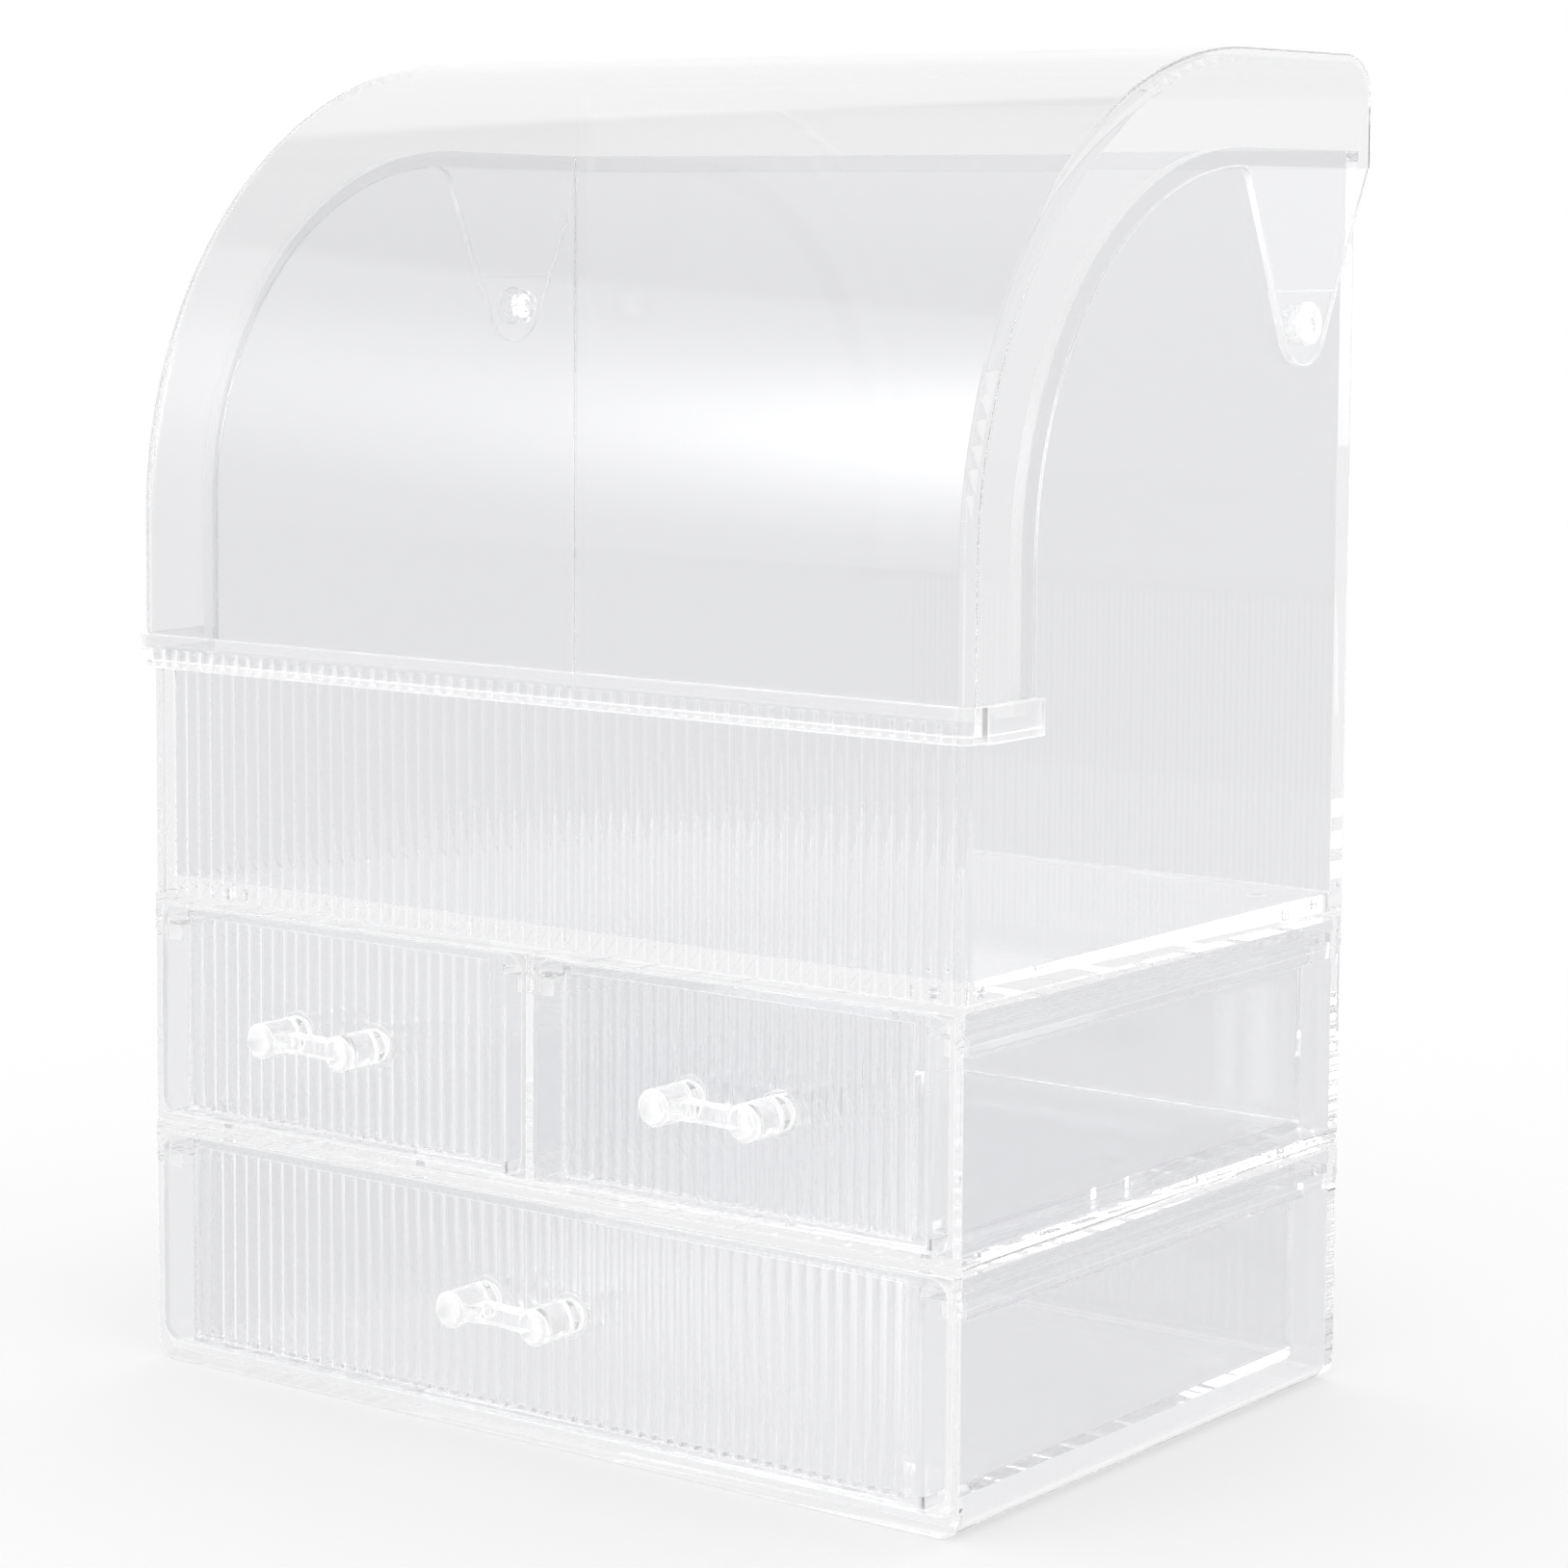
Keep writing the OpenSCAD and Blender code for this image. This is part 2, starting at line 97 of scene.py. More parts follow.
class Signal:
    """An output socket that can stand in arithmetic with numbers and other signals."""

    def __init__(self, shader: "Shader", socket: bpy.types.NodeSocket | None) -> None:
        """Wraps an output socket of a shader's node, or None for a node that has no output."""
        self.shader = shader
        self.socket = socket

    def _math(self, op: Op, first: "Signal | float", second: "Signal | float") -> "Signal":
        """Adds a Math node for one operation on two values."""
        return self.shader.node("ShaderNodeMath", {"operation": op.value}, {0: first, 1: second})

    def __add__(self, other: "Signal | float") -> "Signal":
        """Sum of two values."""
        return self._math(Op.ADD, self, other)

    def __radd__(self, other: float) -> "Signal":
        """Sum of a number and a value."""
        return self._math(Op.ADD, other, self)

    def __sub__(self, other: "Signal | float") -> "Signal":
        """Difference of two values."""
        return self._math(Op.SUBTRACT, self, other)

    def __rsub__(self, other: float) -> "Signal":
        """Difference of a number and a value."""
        return self._math(Op.SUBTRACT, other, self)

    def __mul__(self, other: "Signal | float") -> "Signal":
        """Product of two values."""
        return self._math(Op.MULTIPLY, self, other)

    def __rmul__(self, other: float) -> "Signal":
        """Product of a number and a value."""
        return self._math(Op.MULTIPLY, other, self)

    def __pow__(self, other: "Signal | float") -> "Signal":
        """A value raised to a power."""
        return self._math(Op.POWER, self, other)

    def __rpow__(self, base: float) -> "Signal":
        """A number raised to this value."""
        return self._math(Op.POWER, base, self)

    def at_least(self, floor: float) -> "Signal":
        """The larger of the value and a number."""
        return self._math(Op.MAXIMUM, self, floor)

    def at_most(self, ceiling: float) -> "Signal":
        """The smaller of the value and a number."""
        return self._math(Op.MINIMUM, self, ceiling)

    def above(self, limit: float) -> "Signal":
        """1 where the value is above a limit."""
        return self._math(Op.GREATER, self, limit)

    def ramp(self, low: float, high: float) -> "Signal":
        """0 below one value, 1 above another, and smooth between them."""
        return self.shader.node("ShaderNodeMapRange", {"interpolation_type": "SMOOTHSTEP"},
                                {"Value": self, "From Min": low, "From Max": high})

    def along(self, axis: "Signal | Triple") -> "Signal":
        """Length of this vector along a vector of length 1."""
        return self.shader.node("ShaderNodeVectorMath", {"operation": "DOT_PRODUCT"},
                                {0: self, 1: axis}, output="Value")

    def between(self, first: "Signal | Paint", second: "Signal | Paint") -> "Signal":
        """Mixes two colours, the first where this value is 0 and the second where it is 1."""
        return self.shader.node("ShaderNodeMix", {"data_type": "RGBA"}, {
            0: self, MIX_FIRST: first, MIX_SECOND: second}, output=MIX_RESULT)


class Shader:
    """The node tree of a material or of the world."""

    def __init__(self, owner: bpy.types.Material | bpy.types.World) -> None:
        """Empties the owner's node tree to build in it.

        Args:
            owner: The material or world.
        """
        owner.use_nodes = True
        self.tree = owner.node_tree
        self.tree.nodes.clear()

    def node(self, kind: str, settings: dict[str, object] | None = None,
             inputs: dict[int | str, object] | None = None, output: int | str = 0) -> Signal:
        """Adds a node, sets it up and joins its inputs.

        Args:
            kind: The node's type.
            settings: Its properties, which are set first.
            inputs: Values or signals by socket name or number.
            output: The output socket to return.

        Returns:
            That output.
        """
        node = self.tree.nodes.new(kind)
        for name, value in (settings or {}).items():
            setattr(node, name, value)
        for name, value in (inputs or {}).items():
            if isinstance(value, Signal):
                self.tree.links.new(value.socket, node.inputs[name])
            else:
                node.inputs[name].default_value = value
        return Signal(self, node.outputs[output] if node.outputs else None)

    def noise(self, place: Signal, scale: float, detail: float = 2.0, rough: float = 0.5) -> Signal:
        """Noise between 0 and 1, with cells per metre, octaves and the weight of the finer ones."""
        return self.node("ShaderNodeTexNoise", None, {
            "Vector": place, "Scale": scale, "Detail": detail, "Roughness": rough})

    def place(self) -> Signal:
        """The point on the object, in metres."""
        return self.node("ShaderNodeTexCoord", output="Object")

    def ray(self, fact: Ray) -> Signal:
        """A fact about the ray that meets the surface."""
        return self.node("ShaderNodeLightPath", output=fact.value)

    def mirrored(self) -> Signal:
        """1 for a ray that a surface has reflected, also if it then passed through a wall."""
        return self.ray(Ray.TIMES_REFLECTED).above(0.5)


@dataclass(frozen=True)
class Zone:
    """A box on the object where a finish changes. Any side of it can be left open.

    Attributes:
        out: Least distance from the middle plane.
        within: Greatest distance from the middle plane.
        back: Least y.
        ahead: Greatest y.
        below: Greatest z.
        share: How much of the change it takes.
    """

    out: float = 0.0
    within: float = FAR
    back: float = -FAR
    ahead: float = FAR
    below: float = FAR
    share: float = 1.0

    def mask(self, shader: Shader) -> Signal:
        """The share inside the box, 0 outside.

        Args:
            shader: The shader to build in.

        Returns:
            The mask.
        """
        place = shader.place()
        wide = place.along(ACROSS)
        offset = wide * wide
        side = offset.above(self.out * self.out) * (
            self.share - self.share * offset.above(self.within * self.within))
        depth = place.along(BACKWARDS)
        return side * depth.above(self.back) * (1.0 - depth.above(self.ahead)) * (
            1.0 - place.along(UPWARDS).above(self.below))


@dataclass(frozen=True)
class ClearPlastic:
    """Clear moulded polystyrene.

    Attributes:
        slot: The material slot that it fills.
        variant: Ending of its name, where a slot has more than one finish.
        tint: What one upright face lets through.
        painted_level_tint: What one level face lets through. It is paler than an upright face's,
            painted
        light on the level faces.
        level_range: Squared upward part of the normal at which a face starts to count as
            level, and at which it is level.
        pale: Places where the upright faces let through as much as the level ones.
        haze: Roughness of a clean face.
        handling: Extra roughness in faint patches.
        handling_scale: Patches per metre.
        handling_start: Noise value above which a patch begins.
        ripple: Depth of the slow waves of the mould, in metres.
        ripple_scale: Waves per metre.
        ior: Index of refraction.
        milk: Share of white, scattering plastic.
        painted_rim_sheen: Share of white added where the surface turns away from the eye, a painted
            sheen.
        rim_power: How fast that share falls off towards the middle of a face.
        painted_edge_highlight: Share of white along the sharp edges, a painted highlight for the
            light that their
        slight rounding catches.
        highlight_rounding: Radius of that rounding, in metres.
        highlight_samples: Rays that look for a sharp edge.
        highlight_range: Squared sine of the angle between the rounded normal and the plain one
            at which the white starts, and at which it is whole.
        painted_edge_zones: The places of the sharp edges that get the painted highlight.
        edge_painted_white: Share of white on the cut edges, which paints them bright as if they
            gathered light.
        edge_haze: Roughness of the cut edges.
        edge_painted_glow: Painted glow of the white part of the cut edges.
        shade: Darker colour of the white part.
        light: Lighter colour of the white part.
        white_roughness: Roughness of the white part.
        painted_white_glow: Painted glow of the white part, standing in for the light that it
            gathers from the room.
        glow: Painted glow of the clear part in the glowing place.
        glowing: That place.
        glow_level: Whether only the outside of level faces gives off that light.
    """

    slot: Slot
    variant: str = ""
    tint: Tint = Tint.WALL
    painted_level_tint: Tint = Tint.PALE
    level_range: tuple[float, float] = (0.2, 0.7)
    pale: tuple[Zone, ...] = ()
    haze: float = 0.0
    handling: float = 0.02
    handling_scale: float = 30.0
    handling_start: float = 0.55
    ripple: float = 0.00002
    ripple_scale: float = 14.0
    ior: float = 1.5
    milk: float = 0.0
    painted_rim_sheen: float = 0.0
    rim_power: float = 3.0
    painted_edge_highlight: float = 0.5
    highlight_rounding: float = 0.0006
    highlight_samples: int = 2
    highlight_range: tuple[float, float] = (0.05, 0.4)
    painted_edge_zones: tuple[Zone, ...] = (Zone(),)
    edge_painted_white: float = 0.6
    edge_haze: float = 0.08
    edge_painted_glow: float = 0.4
    shade: Paint = (0.96, 0.96, 0.965, 1.0)
    light: Paint = (0.99, 0.99, 0.99, 1.0)
    white_roughness: float = 0.25
    painted_white_glow: float = 0.5
    glow: float = 0.0
    glowing: Zone | None = None
    glow_level: bool = False

    def of_edges(self) -> "ClearPlastic":
        """The finish of the cut edges of walls that have this finish."""
        # The cut edges are painted bright: white that gives off a painted glow.
        return ClearPlastic(self.slot, self.variant + "_edge", Tint.PALE, haze=self.edge_haze,
                            milk=self.edge_painted_white, painted_white_glow=self.edge_painted_glow)

    def levelness(self, shader: Shader) -> Signal:
        """1 on a level face, 0 on an upright one."""
        upright = shader.node("ShaderNodeTexCoord", output="Normal").along(UPWARDS)
        return (upright * upright).ramp(*self.level_range)

    def tinting(self, shader: Shader, level: Signal) -> Signal:
        """What the clear part lets through.

        Args:
            shader: The shader to build in.
            level: 1 on a level face.

        Returns:
            The colour.
        """
        # Level faces get the paler tint, painted light that lightens them.
        tinted = level.between(self.tint.paint(), self.painted_level_tint.paint())
        for zone in self.pale:
            tinted = zone.mask(shader).between(tinted, self.painted_level_tint.paint())
        return tinted

    def glowing_colour(self, shader: Shader, level: Signal) -> Signal | Paint:
        """The painted glow of the clear part.

        Args:
            shader: The shader to build in.
            level: 1 on a level face.

        Returns:
            The colour.
        """
        if not self.glowing:
            return BLACK
        lighter = self.glowing.mask(shader) * self.glow
        if self.glow_level:
            inside = shader.node("ShaderNodeNewGeometry", output="Backfacing")
            lighter = lighter * level * (1.0 - inside)
        return lighter.between(BLACK, WHITE)

    def sharp(self, shader: Shader) -> Signal:
        """1 along the sharp edges of the moulding, 0 on its faces.

        Args:
            shader: The shader to build in.

        Returns:
            The mask.
        """
        rounded = shader.node("ShaderNodeBevel", {"samples": self.highlight_samples}, {
            "Radius": self.highlight_rounding})
        same = rounded.along(shader.node("ShaderNodeNewGeometry", output="Normal"))
        where: Signal | float = 0.0
        for zone in self.painted_edge_zones:
            where = zone.mask(shader) + where
        return (1.0 - same * same).ramp(*self.highlight_range) * where.at_most(1.0)

    def whiteness(self, shader: Shader) -> Signal:
        """Share of the white part, with the painted sheen and the painted edge highlights.

        Args:
            shader: The shader to build in.

        Returns:
            The share.
        """
        turned = shader.node("ShaderNodeLayerWeight", None, {"Blend": 0.5}, output="Facing")
        # Painted sheen: white added where the surface turns away from the eye.
        share = self.milk + self.painted_rim_sheen * turned ** self.rim_power
        # Painted highlight: white along the sharp edges, for the light that their rounding catches.
        if self.painted_edge_highlight:
            share = share + self.painted_edge_highlight * self.sharp(shader)
        return share.at_most(1.0)

    def build(self) -> bpy.types.Material:
        """Makes the material.

        Returns:
            The new material.
        """
        material = bpy.data.materials.new(self.slot.value + self.variant)
        shader = Shader(material)
        place = shader.place()
        waves = shader.noise(place, self.ripple_scale, detail=1.0)
        patches = shader.noise(place, self.handling_scale, detail=4.0, rough=0.6)
        bump = shader.node("ShaderNodeBump", None, {
            "Strength": 1.0, "Distance": self.ripple, "Height": waves})
        level = self.levelness(shader)
        clear = shader.node("ShaderNodeBsdfPrincipled", None, {
            "Base Color": self.tinting(shader, level),
            "Emission Color": self.glowing_colour(shader, level),
            "Emission Strength": 1.0,
            "Roughness": self.haze + self.handling * (patches - self.handling_start).at_least(0.0),
            "IOR": self.ior,
            "Transmission Weight": 1.0,
            "Normal": bump,
        })
        # The white part gives off a painted glow, on top of the light that really falls on it.
        white = shader.node("ShaderNodeBsdfPrincipled", None, {
            "Base Color": patches.between(self.shade, self.light),
            "Emission Color": (self.painted_white_glow, self.painted_white_glow, self.painted_white_glow, 1.0),
            "Emission Strength": 1.0,
            "Roughness": self.white_roughness,
            "IOR": self.ior,
            "Normal": bump,
        })
        surface = shader.node("ShaderNodeMixShader", None, {
            0: self.whiteness(shader), 1: clear, 2: white})
        shader.node("ShaderNodeOutputMaterial", None, {"Surface": surface})
        return material


@dataclass(frozen=True)
class Moulding:
    """One or more CAD nodes of one finish, with cut edges painted bright.

    The faces of a mesh fall into patches, each smooth or flat. A narrow patch is the cut
    edge of a wall. Its width is its area divided by its length, which is the diagonal of
    its box, or for a long curved strip half its outline.

    Attributes:
        nodes: Names of the nodes.
        finish: Finish of the broad faces.
        edge_width: Patches narrower than this are edges, in metres.
        long_strip: Least diagonal of a long curved strip, in metres.
        joined: Two faces whose normals agree more than this, as a cosine, share a patch.
        flat: A patch whose normals agree less than this is curved.
        curved: One whose normals agree less than this can be a long curved strip.
        level: Greatest upward part of the normals of an upright patch.
        digits: Digits of a metre to which corners are the same.
    """

    nodes: tuple[str, ...]
    finish: ClearPlastic
    edge_width: float = 0.0032
    long_strip: float = 0.1
    joined: float = 0.94
    flat: float = 0.98
    curved: float = 0.9
    level: float = 0.1
    digits: int = 6

    def sides_of(self, polygon: bpy.types.MeshPolygon,
                 spots: list[Triple]) -> list[tuple[Triple, Triple]]:
        """The two ends of each side of a polygon, the same for both polygons that share it."""
        return [tuple(sorted((spots[first], spots[second]))) for first, second in polygon.edge_keys]

    def length_of(self, polygons: list[bpy.types.MeshPolygon], bend: float,
                  spots: list[Triple]) -> float:
        """The length of a patch.

        Args:
            polygons: The patch's polygons.
            bend: How far its normals agree, as a cosine.
            spots: The rounded place of each vertex.

        Returns:
            The length in metres.
        """
        corners = [spots[corner] for polygon in polygons for corner in polygon.vertices]
        diagonal = math.dist(tuple(map(max, zip(*corners))), tuple(map(min, zip(*corners))))
        if bend >= self.curved or diagonal <= self.long_strip:
            return diagonal
        counts: dict[tuple[Triple, Triple], int] = {}
        for polygon in polygons:
            for side in self.sides_of(polygon, spots):
                counts[side] = counts.get(side, 0) + 1
        return sum(math.dist(*side) for side, count in counts.items() if count == 1) / 2

    def is_edge(self, polygons: list[bpy.types.MeshPolygon], spots: list[Triple]) -> bool:
        """Tells whether a patch is the cut edge of a wall. Reeds and upright corners are not.

        Args:
            polygons: The patch's polygons.
            spots: The rounded place of each vertex.

        Returns:
            Whether it is one.
        """
        normals = [polygon.normal for polygon in polygons]
        bend = min(normal.dot(normals[0]) for normal in normals)
        if bend < self.flat and all(abs(normal.z) < self.level for normal in normals):
            return False
        area = sum(polygon.area for polygon in polygons)
        return area < self.edge_width * self.length_of(polygons, bend, spots)

    def patches(self, mesh: bpy.types.Mesh, spots: list[Triple]) -> list[list[int]]:
        """Joins the faces of a mesh that bend little into each other.

        Args:
            mesh: The mesh.
            spots: The rounded place of each vertex.

        Returns:
            The numbers of the polygons of each patch.
        """
        parent = list(range(len(mesh.polygons)))

        def root(index: int) -> int:
            """Finds the polygon that stands for a polygon's patch.

            Args:
                index: The number of the polygon.

            Returns:
                The number of the one that stands for the patch.
            """
            while parent[index] != index:
                parent[index] = parent[parent[index]]
                index = parent[index]
            return index

        first_at: dict[tuple[Triple, Triple], int] = {}
        for polygon in mesh.polygons:
            for side in self.sides_of(polygon, spots):
                other = first_at.setdefault(side, polygon.index)
                if polygon.normal.dot(mesh.polygons[other].normal) > self.joined:
                    parent[root(polygon.index)] = root(other)
        members: dict[int, list[int]] = {}
        for polygon in mesh.polygons:
            members.setdefault(root(polygon.index), []).append(polygon.index)
        return list(members.values())

    def edges(self, mesh: bpy.types.Mesh) -> set[int]:
        """Finds the faces of a mesh that are cut edges of its walls.

        Args:
            mesh: The mesh.

        Returns:
            The numbers of those polygons.
        """
        spots = [tuple(round(part, self.digits) for part in vertex.co) for vertex in mesh.vertices]
        found: set[int] = set()
        for members in self.patches(mesh, spots):
            if self.is_edge([mesh.polygons[index] for index in members], spots):
                found.update(members)
        return found

    def dress(self) -> None:
        """Puts the finish and that of its cut edges on the nodes."""
        finishes = [self.finish.build(), self.finish.of_edges().build()]
        for name in self.nodes:
            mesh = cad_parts[name].data
            mesh.materials.clear()
            for finish in finishes:
                mesh.materials.append(finish)
            edges = self.edges(mesh)
            for polygon in mesh.polygons:
                polygon.material_index = int(polygon.index in edges)
            LOG.info("dressed %s, %d of %d faces are edges", name, len(edges), len(mesh.polygons))


@dataclass(frozen=True)
class Case:
    """The fixed stack: two drawer cases and the open display case on them.

    Attributes:
        divider_reach: Distance from the middle plane that holds the divider and its ledges.
        divider_back: Depth just before the back wall.
        divider_pale: How much paler the divider is, from none at 0 to a level face's tint at 1.
        floor_top: Height just above the display floor.
        floor_glow: Painted glow of the display floor.
        side_out: Distance from the middle plane just inside the outer faces of the side walls.
        fence_back: Depth just before the rear face of the fence, whose reeds get no painted
        edge highlight.
    """

    divider_reach: float = 0.012
    divider_back: float = 0.075
    divider_pale: float = 0.85
    floor_top: float = 0.1205
    floor_glow: float = 0.055
    side_out: float = 0.1185
    fence_back: float = -0.0775

    def lower(self) -> Moulding:
        """The lower drawer case."""
        return Moulding(("lower_case",), ClearPlastic(Slot.CASE))

    def middle(self) -> Moulding:
        """The middle drawer case, with its paler divider."""
        divider = Zone(within=self.divider_reach, ahead=self.divider_back, share=self.divider_pale)
        return Moulding(("middle_case",), ClearPlastic(Slot.CASE, "_middle", pale=(divider,)))

    def display(self) -> Moulding:
        """The display case, whose floor gives off a painted glow, with painted edge highlights on
        its walls only.

        Returns:
            The moulding.
        """
        painted_edge_zones = (Zone(out=self.side_out), Zone(back=self.fence_back))
        return Moulding(("display_case",), ClearPlastic(
            Slot.CASE, "_top", painted_level_tint=Tint.CLEAREST, painted_edge_zones=painted_edge_zones, glow=self.floor_glow,
            glowing=Zone(below=self.floor_top), glow_level=True))

    def dress(self) -> None:
        """Dresses the three mouldings from the bottom up."""
        for moulding in (self.lower(), self.middle(), self.display()):
            moulding.dress()


@dataclass(frozen=True)
class Cover:
    """The curved cover with its skirts and hinge ears, and the reeded rail round its foot.

    Attributes:
        skirt_out: Distance from the middle plane just inside the side skirts.
        skirt_back: Depth of the back of the case, behind which the shell bends down to its
            rear skirt.
        ear_front: Depth just before the hinge ears.
        ear_top: Height at which the ears leave the side skirts.
        ear_glow: Painted glow of the ears.
        painted_edge_highlight: Share of white along the sharp edges of the shell, a painted
            highlight.
        rail_milk: Share of white in the rail.
        rail_rim_sheen: Share of white added where the rail turns away from the eye, a painted
            sheen.
        rail_edge_highlight: Share of white along the rail's sharp edges, a painted highlight.
        rail_painted_edge_white: Share of white on the rail's cut edges, which paints them bright.
        rail_painted_glow: Painted glow of the rail's white part.
    """

    skirt_out: float = 0.119
    skirt_back: float = 0.08
    ear_front: float = 0.02
    ear_top: float = 0.293
    ear_glow: float = 0.05
    painted_edge_highlight: float = 0.9
    rail_milk: float = 0.14
    rail_rim_sheen: float = 0.25
    rail_edge_highlight: float = 0.35
    rail_painted_edge_white: float = 0.36
    rail_painted_glow: float = 0.4

    def shell(self) -> Moulding:
        """The sheet, with pale skirts and ears that give off a painted glow.

        Returns:
            The moulding.
        """
        skirts = (Zone(out=self.skirt_out), Zone(back=self.skirt_back))
        ears = Zone(out=self.skirt_out, back=self.ear_front, below=self.ear_top)
        return Moulding(("cover_shell",), ClearPlastic(
            Slot.COVER, painted_level_tint=Tint.COVER_TOP, painted_edge_highlight=self.painted_edge_highlight, pale=skirts,
            glow=self.ear_glow, glowing=ears))

    def rail(self) -> Moulding:
        """The rail, slightly milky."""
        return Moulding(("cover_rail",), ClearPlastic(
            Slot.REEDED, "_rail", Tint.THIN, milk=self.rail_milk, painted_rim_sheen=self.rail_rim_sheen,
            painted_edge_highlight=self.rail_edge_highlight, painted_white_glow=self.rail_painted_glow, edge_painted_white=self.rail_painted_edge_white))

    def dress(self) -> None:
        """Dresses the shell and the rail."""
        for moulding in (self.shell(), self.rail()):
            moulding.dress()


@dataclass(frozen=True)
class Drawers:
    """The three drawers: a reeded front, a tray and a pull each.

    Attributes:
        border_front: Depth just behind the face of a front's raised border. The flanks of
        the sunken reeds lie behind it and get no painted edge highlight.
        pull_milk: Share of white in a pull.
        pull_rim_sheen: Share of white added where a pull turns away from the eye, a painted sheen.
        pull_painted_glow: Painted glow of a pull's white part.
    """

    border_front: float = -0.08045
    pull_milk: float = 0.12
    pull_rim_sheen: float = 0.5
    pull_painted_glow: float = 0.4

    def front(self, nodes: tuple[str, ...], variant: str, tint: Tint) -> Moulding:
        """Reeded fronts of one tint, with painted edge highlights along their borders."""
        border = (Zone(ahead=self.border_front),)
        return Moulding(nodes, ClearPlastic(Slot.REEDED, variant, tint, painted_edge_zones=border))

    def pulls(self) -> Moulding:
        """The three pulls, whose round sides get a painted sheen of white."""
        return Moulding(("upper_left_pull", "upper_right_pull", "lower_pull"), ClearPlastic(
            Slot.PULL, "", Tint.PALE, milk=self.pull_milk, painted_rim_sheen=self.pull_rim_sheen, painted_white_glow=self.pull_painted_glow))

    def dress(self) -> None:
        """Dresses the fronts, the trays and the pulls."""
        self.front(("upper_left_front", "upper_right_front"), "", Tint.THIN).dress()
        self.front(("lower_front",), "_low", Tint.THICK).dress()
        Moulding(("upper_left_tray", "upper_right_tray"),
                 ClearPlastic(Slot.TRAY, "", Tint.TRAY)).dress()
        Moulding(("lower_tray",), ClearPlastic(Slot.TRAY, "_low", Tint.THICK)).dress()
        self.pulls().dress()


@dataclass(frozen=True)
class Rivets:
    """The two snap rivets of the hinge and the caps inside the walls.

    Attributes:
        milk: Share of white.
        painted_rim_sheen: Share of white added where the surface turns away from the eye, a painted
            sheen.
        painted_white_glow: Painted glow of the white part.
    """

    milk: float = 0.06
    painted_rim_sheen: float = 0.4
    painted_white_glow: float = 0.45

    def dress(self) -> None:
        """Dresses the rivets and their caps."""
        finish = ClearPlastic(Slot.RIVET, "", Tint.PALE, milk=self.milk, painted_rim_sheen=self.painted_rim_sheen, painted_white_glow=self.painted_white_glow)
        Moulding(("left_rivet", "right_rivet", "left_rivet_cap", "right_rivet_cap"), finish).dress()


@dataclass(frozen=True)
class Softbox:
    """A tall soft light whose brightness falls off from its middle.

    Attributes:
        turn: Its turn from straight ahead of the object towards +X, in degrees.
        rise: Its height above the horizon, in degrees.
        width: Half its width, in degrees.
        height: Half its height, in degrees.
        strength: Brightness of its middle above the room's.
    """

    turn: float
    rise: float
    width: float
    height: float
    strength: float

    def glow(self, direction: Signal) -> Signal:
        """Its brightness in a direction.

        Args:
            direction: The direction, as a unit vector.

        Returns:
            The brightness.
        """
        turn, rise = math.radians(self.turn), math.radians(self.rise)
        ahead = (math.sin(turn) * math.cos(rise), -math.cos(turn) * math.cos(rise), math.sin(rise))
        right = (math.cos(turn), math.sin(turn), 0.0)
        up = tuple(Vector(ahead).cross(Vector(right)))
        across = direction.along(right) * (1.0 / math.radians(self.width))
        upwards = direction.along(up) * (1.0 / math.radians(self.height))
        fall = math.e ** ((across * across + upwards * upwards) * -0.5)
        return fall * direction.along(ahead).above(0.0) * self.strength


@dataclass(frozen=True)
class StripLamp:
    """An upright lamp that stands on the floor and draws a line of light on each reed.

    Attributes:
        name: Name of the lamp.
        turn: Its turn from straight ahead of the object towards +X, in degrees.
        away: Its distance from the object's middle.
        width: Its width.
        height: Its height.
        brightness: Its brightness, where the room's is 1.
    """

    name: str
    turn: float
    away: float
    width: float
    height: float
    brightness: float

    def build(self) -> None:
        """Makes the lamp, turned towards the object and unseen through clear walls."""
        light = bpy.data.lights.new(self.name, "AREA")
        light.shape = "RECTANGLE"
        light.size = self.width
        light.size_y = self.height
        light.energy = self.brightness * math.pi * self.width * self.height
        turn = math.radians(self.turn)
        outward = Vector((math.sin(turn), -math.cos(turn), 0.0))
        lamp = bpy.data.objects.new(self.name, light)
        lamp.location = outward * self.away + Vector((0.0, 0.0, self.height / 2))
        lamp.rotation_euler = (-outward).to_track_quat("-Z", "Y").to_euler()
        lamp.visible_transmission = False
        bpy.context.scene.collection.objects.link(lamp)


@dataclass(frozen=True)
class PatchSide:
    """One soft side of the light area of the floor.

    Attributes:
        across: Part along X of the direction towards its inside.
        ahead: Part along Y of that direction.
        start: Length along it where the area starts, in metres from the origin.
        whole: Length along it where the area is at its full brightness.
    """

    across: float
    ahead: float
    start: float
    whole: float


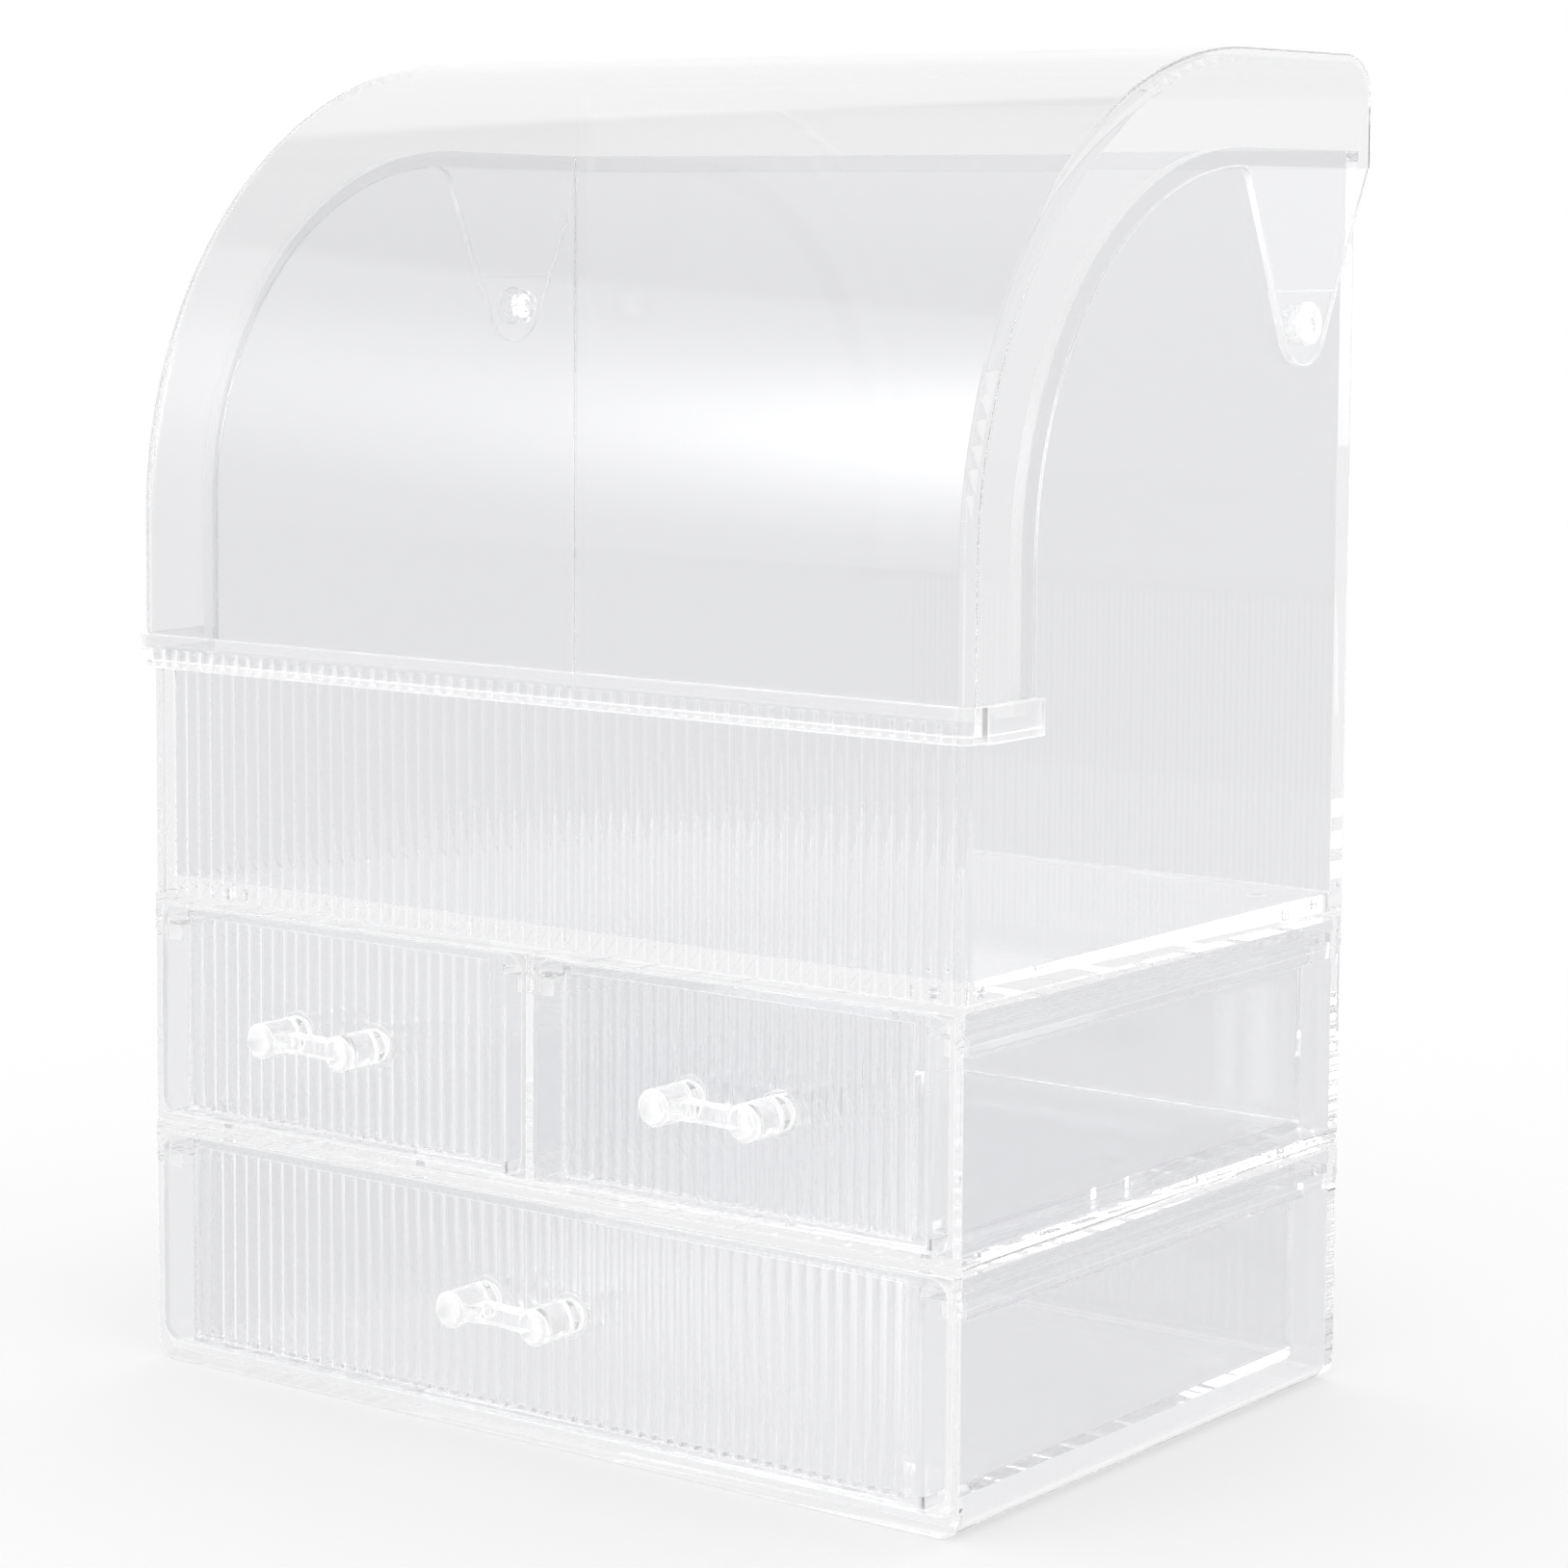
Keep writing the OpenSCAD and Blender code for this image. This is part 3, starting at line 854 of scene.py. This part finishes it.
@dataclass(frozen=True)
class Studio:
    """A white room with a grey ceiling: floor, background and soft lights.

    Attributes:
        floor_side: Side of the square floor.
        floor_drop: Gap between the floor and the object's underside.
        floor_tone: Colour of the floor.
        floor_lift: Brightness added where the floor is seen.
        ceiling: Brightness of the ceiling.
        ceiling_through: Its brightness through clear walls.
        ceiling_from: Sine of the height at which the ceiling starts.
        ceiling_fade: How much that sine grows until the ceiling is whole.
        matt_light: Brightness of the room for matt surfaces, which the lamp brings to 1.
        softboxes: Soft lights that show only in reflections.
        lamp: The lamp in front.
        patch: Sides of a light area of the floor in front.
        patch_glow: Brightness added to it in reflections.
        passes: Most walls that light passes through or is reflected by.
        scatters: Most matt surfaces that pass light on.
    """

    floor_side: float = 6.0
    floor_drop: float = 0.0003
    floor_tone: float = 0.45
    floor_lift: float = 0.6
    ceiling: float = 0.4
    ceiling_through: float = 0.95
    ceiling_from: float = 0.66
    ceiling_fade: float = 0.03
    matt_light: float = 0.9
    softboxes: tuple[Softbox, ...] = (
        Softbox(turn=-34.0, rise=22.0, width=5.0, height=10.5, strength=3.9),
        Softbox(turn=-47.0, rise=25.0, width=11.0, height=9.0, strength=1.0),
    )
    lamp: StripLamp = StripLamp(
        "front_panel", turn=6.0, away=1.3, width=0.36, height=0.45, brightness=0.5)
    patch: tuple[PatchSide, ...] = (
        PatchSide(across=0.959, ahead=0.282, start=-0.26, whole=0.06),
        PatchSide(across=0.8, ahead=-0.6, start=0.14, whole=0.2),
        PatchSide(across=-0.94, ahead=-0.342, start=-0.08, whole=-0.02),
    )
    patch_glow: float = 1.8
    passes: int = 160
    scatters: int = 12

    def floor_finish(self) -> bpy.types.Material:
        """Makes the floor's material: white through clear walls and in reflections.

        Returns:
            The new material.
        """
        material = bpy.data.materials.new("floor")
        shader = Shader(material)
        tone = self.floor_tone
        matt = shader.node("ShaderNodeBsdfDiffuse", None, {"Color": (tone, tone, tone, 1.0)})
        lift = shader.node("ShaderNodeEmission", None, {
            "Color": WHITE, "Strength": shader.ray(Ray.FROM_CAMERA) * self.floor_lift})
        seen = shader.node("ShaderNodeAddShader", None, {0: matt, 1: lift})
        place = shader.place()
        inside: Signal | float = 1.0
        for side in self.patch:
            length = place.along((side.across, side.ahead, 0.0))
            inside = length.ramp(side.start, side.whole) * inside
        plain = shader.node("ShaderNodeEmission", None, {
            "Color": WHITE, "Strength": 1.0 + shader.mirrored() * inside * self.patch_glow})
        indirect = shader.ray(Ray.FROM_GLOSSY) + shader.ray(Ray.THROUGH_CLEAR)
        surface = shader.node("ShaderNodeMixShader", None, {
            0: indirect.at_most(1.0), 1: seen, 2: plain})
        shader.node("ShaderNodeOutputMaterial", None, {"Surface": surface})
        return material

    def build_floor(self) -> None:
        """Makes the floor, which keeps the object's shadow where it is seen."""
        half = self.floor_side / 2
        corners = [(-half, -half), (half, -half), (half, half), (-half, half)]
        mesh = bpy.data.meshes.new("floor")
        mesh.from_pydata([(x, y, -self.floor_drop) for x, y in corners], [], [(0, 1, 2, 3)])
        mesh.materials.append(self.floor_finish())
        floor = bpy.data.objects.new("floor", mesh)
        bpy.context.scene.collection.objects.link(floor)

    def build_world(self) -> None:
        """Makes the white background, the grey ceiling and the soft lights."""
        world = bpy.data.worlds.new("studio")
        bpy.context.scene.world = world
        shader = Shader(world)
        direction = shader.node("ShaderNodeTexCoord", output="Generated")
        high = direction.along(UPWARDS).ramp(
            self.ceiling_from, self.ceiling_from + self.ceiling_fade)
        lighter = shader.ray(Ray.THROUGH_CLEAR) * (self.ceiling_through - self.ceiling)
        room = 1.0 - high * (1.0 - self.ceiling - lighter)
        lights: Signal | float = 0.0
        for softbox in self.softboxes:
            lights = lights + softbox.glow(direction)
        matt = shader.ray(Ray.FROM_MATT)
        strength = matt * self.matt_light + (1.0 - matt) * (room + shader.mirrored() * lights)
        sky = shader.node("ShaderNodeBackground", None, {"Color": WHITE, "Strength": strength})
        shader.node("ShaderNodeOutputWorld", None, {"Surface": sky})

    def set_passes(self) -> None:
        """Lets light pass through all the walls that stand behind each other."""
        cycles = bpy.context.scene.cycles
        cycles.max_bounces = self.passes
        cycles.transmission_bounces = self.passes
        cycles.glossy_bounces = self.passes
        cycles.diffuse_bounces = self.scatters

    def build(self) -> None:
        """Makes the floor, the background and the lights."""
        self.build_floor()
        self.build_world()
        self.lamp.build()
        self.set_passes()
        LOG.info("built the studio")


@dataclass(frozen=True)
class ProductCamera:
    """A camera at eye level in front of the right-hand corner.

    Attributes:
        place: Where it stands.
        turn: Its turn about the upright axis, in degrees.
        dip: How far it looks down, in degrees.
        roll: Its roll, in degrees.
        focal: Focal length in pixels of the image.
        centre: The optical centre in pixels of the image.
        sensor: Width of its sensor in millimetres.
        nearest: Nearest distance that it sees.
        farthest: Farthest distance that it sees.
    """

    place: Triple = (0.6093, -0.7949, 0.2815)
    turn: float = 36.676
    dip: float = 4.947
    roll: float = 0.357
    focal: float = 4330.3
    centre: tuple[float, float] = (833.96, 596.62)
    sensor: float = 36.0
    nearest: float = 0.05
    farthest: float = 20.0

    def lens(self) -> bpy.types.Camera:
        """Makes the lens, shifted so that the optical centre is where it should be.

        Returns:
            The camera's data.
        """
        lens = bpy.data.cameras.new("camera")
        lens.sensor_fit = "HORIZONTAL"
        lens.sensor_width = self.sensor
        lens.lens = self.focal / IMAGE_SIDE * self.sensor
        lens.shift_x = (IMAGE_SIDE / 2 - self.centre[0]) / IMAGE_SIDE
        lens.shift_y = (self.centre[1] - IMAGE_SIDE / 2) / IMAGE_SIDE
        lens.clip_start = self.nearest
        lens.clip_end = self.farthest
        return lens

    def build(self) -> None:
        """Makes the camera and gives it to the scene."""
        turn, dip, roll = (math.radians(angle) for angle in (self.turn, self.dip, self.roll))
        ahead = Vector((-math.sin(turn) * math.cos(dip), math.cos(turn) * math.cos(dip),
                        -math.sin(dip)))
        level = Vector((math.cos(turn), math.sin(turn), 0.0))
        upright = level.cross(ahead)
        right = level * math.cos(roll) + upright * math.sin(roll)
        up = upright * math.cos(roll) - level * math.sin(roll)
        camera = bpy.data.objects.new("camera", self.lens())
        bpy.context.scene.collection.objects.link(camera)
        turned = Matrix((right, up, -ahead)).transposed().to_4x4()
        camera.matrix_world = Matrix.Translation(Vector(self.place)) @ turned
        bpy.context.scene.camera = camera


def main() -> None:
    """Makes the camera, dresses every moulding, and builds the studio."""
    logging.basicConfig(level=logging.INFO, format="%(name)s: %(message)s")
    bpy.context.scene.view_settings.view_transform = "Standard"
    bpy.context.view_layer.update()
    ProductCamera().build()
    for assembly in (Case(), Cover(), Drawers(), Rivets()):
        assembly.dress()
    Studio().build()


if __name__ == "__main__":
    main()
